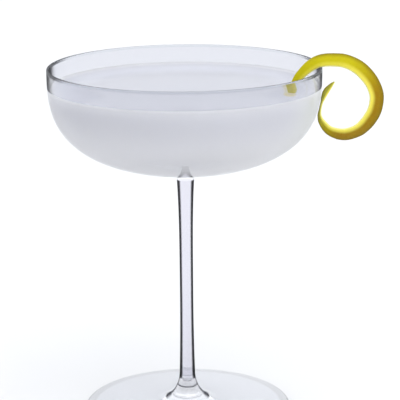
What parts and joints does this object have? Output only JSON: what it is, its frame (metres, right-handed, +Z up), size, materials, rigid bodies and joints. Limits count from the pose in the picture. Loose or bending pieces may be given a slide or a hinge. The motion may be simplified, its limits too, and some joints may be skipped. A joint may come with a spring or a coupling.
{
  "type": "martini cocktail",
  "caption": "Stemmed coupe glass filled with a pale, slightly cloudy cocktail, with a curled strip of lemon peel hung over the rim.",
  "frame": {"origin": "middle of the foot's flat underside, on the glass's axis", "axes": "+Z up along the stem to the rim; -Y is the front; +X is the side where the lemon twist hangs over the rim"},
  "size_m": [0.1323, 0.1084, 0.1476],
  "materials": {
    "glass": "clear polished glass",
    "drink": "pale cloudy liquid with a still, glossy surface",
    "lemon_peel": "yellow lemon zest with a pale pith side"
  },
  "bodies": {
    "root": {"glass": "glass", "drink": "drink", "lemon_twist": "lemon_peel"}
  },
  "joints": []
}
